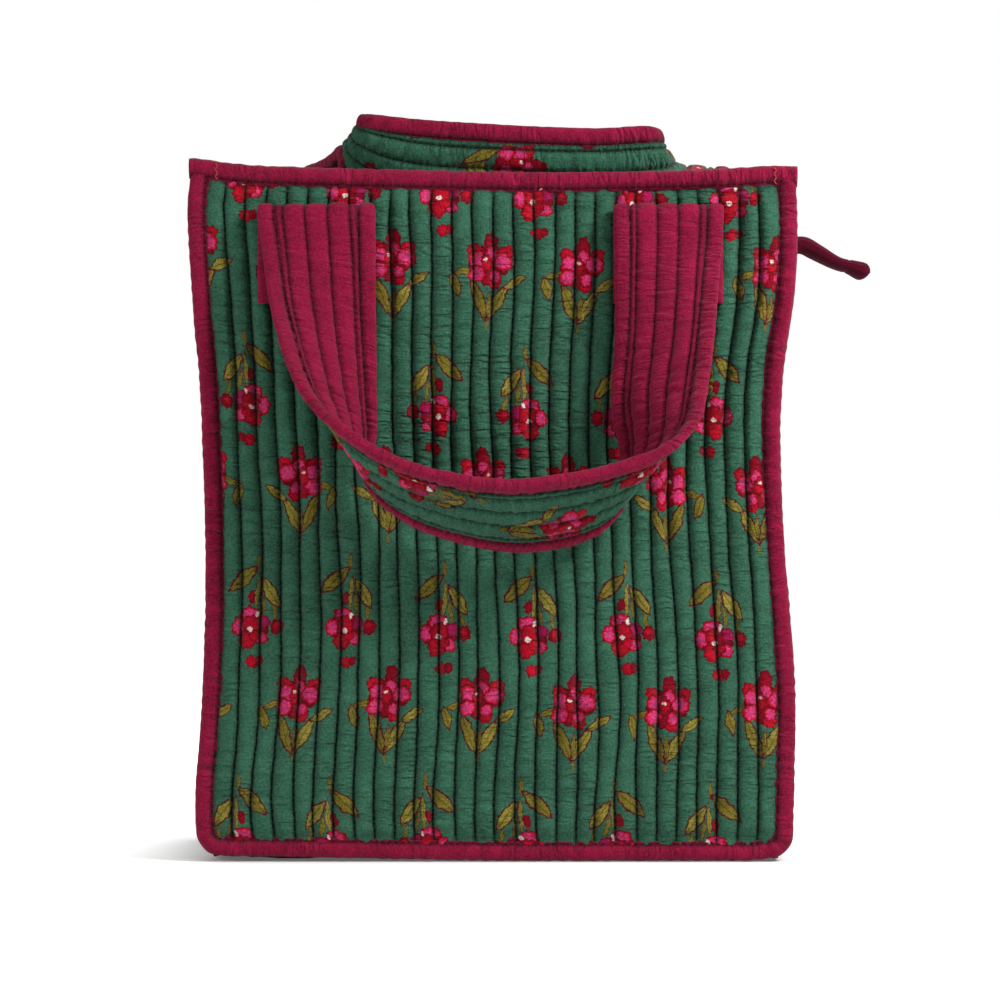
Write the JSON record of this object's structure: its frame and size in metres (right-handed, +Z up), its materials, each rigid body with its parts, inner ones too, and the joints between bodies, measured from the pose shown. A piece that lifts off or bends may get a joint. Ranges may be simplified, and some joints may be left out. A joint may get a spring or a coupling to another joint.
{
  "type": "lunch bag",
  "caption": "Quilted cotton lunch bag with bound seams, two strap handles folded down, and a zip panel set down inside the mouth.",
  "frame": {"origin": "middle of the underside of the base", "axes": "+Z up through the mouth, -Y out of the front panel, +X towards the zip's free end"},
  "size_m": [0.2742, 0.191, 0.3001],
  "materials": {
    "printed_cotton": "quilted cotton with a printed flower repeat",
    "binding_cotton": "plain woven cotton",
    "lining_cotton": "plain woven cotton, quilted",
    "insulated_lining": "satin coated fabric",
    "foam": "matte",
    "stiffener": "matte board",
    "zip_tape": "woven tape",
    "zip_metal": "polished"
  },
  "bodies": {
    "bag": {"front_panel": "printed_cotton", "front_foam": "foam", "front_lining": "insulated_lining", "front_seam_binding": "binding_cotton", "front_top_binding": "binding_cotton", "back_panel": "printed_cotton", "back_foam": "foam", "back_lining": "insulated_lining", "back_seam_binding": "binding_cotton", "back_top_binding": "binding_cotton", "left_gusset": "printed_cotton", "left_foam": "foam", "left_lining": "insulated_lining", "left_gusset_binding": "binding_cotton", "right_gusset": "printed_cotton", "right_foam": "foam", "right_lining": "insulated_lining", "right_gusset_binding": "binding_cotton", "base_panel": "printed_cotton", "base_foam": "foam", "base_stiffener": "stiffener", "base_lining": "insulated_lining", "front_handle_left_end": "binding_cotton", "front_handle_right_end": "binding_cotton", "back_handle_left_end": "binding_cotton", "back_handle_right_end": "binding_cotton", "zip_start": "zip_tape", "zip_tail": "zip_tape"},
    "front_handle": {"front_handle_cover": "printed_cotton", "front_handle_lining": "lining_cotton", "front_handle_outer_binding": "binding_cotton", "front_handle_inner_binding": "binding_cotton"},
    "back_handle": {"back_handle_cover": "printed_cotton", "back_handle_lining": "lining_cotton", "back_handle_outer_binding": "binding_cotton", "back_handle_inner_binding": "binding_cotton"},
    "front_flap": {"front_zip_flap": "printed_cotton", "front_zip_tape": "zip_tape", "front_zip_coil": "zip_tape"},
    "back_flap": {"back_zip_flap": "printed_cotton", "back_zip_tape": "zip_tape", "back_zip_coil": "zip_tape"},
    "slider": {"zip_slider": "zip_metal"},
    "pull": {"zip_pull": "zip_metal"},
    "zip_end": {"zip_end_tab": "zip_tape"}
  },
  "joints": [
    {"name": "front_handle_swing", "type": "hinge", "parent": "bag", "child": "front_handle", "pos_m": [0, -0.0707, 0.258], "axis": [-1, 0, 0], "range_deg": [0, 165]},
    {"name": "back_handle_swing", "type": "hinge", "parent": "bag", "child": "back_handle", "pos_m": [0.007, 0.0707, 0.2836], "axis": [-1, 0, 0], "range_deg": [0, 258]},
    {"name": "front_flap_hinge", "type": "hinge", "parent": "bag", "child": "front_flap", "pos_m": [0, -0.0561, 0.24475], "axis": [-1, 0, 0], "range_deg": [0, 80]},
    {"name": "back_flap_hinge", "type": "hinge", "parent": "bag", "child": "back_flap", "pos_m": [0, 0.0561, 0.24475], "axis": [1, 0, 0], "range_deg": [0, 80]},
    {"name": "zip_travel", "type": "slide", "parent": "bag", "child": "slider", "axis": [1, 0, 0], "range_m": [0, 0.2036]},
    {"name": "pull_flip", "type": "hinge", "parent": "slider", "child": "pull", "pos_m": [-0.1018, 0, 0.2501], "axis": [0, -1, 0], "range_deg": [0, 178]},
    {"name": "zip_end_bend", "type": "hinge", "parent": "bag", "child": "zip_end", "pos_m": [0.118, 0, 0.246], "axis": [0, 1, 0], "range_deg": [-40, 32]}
  ]
}
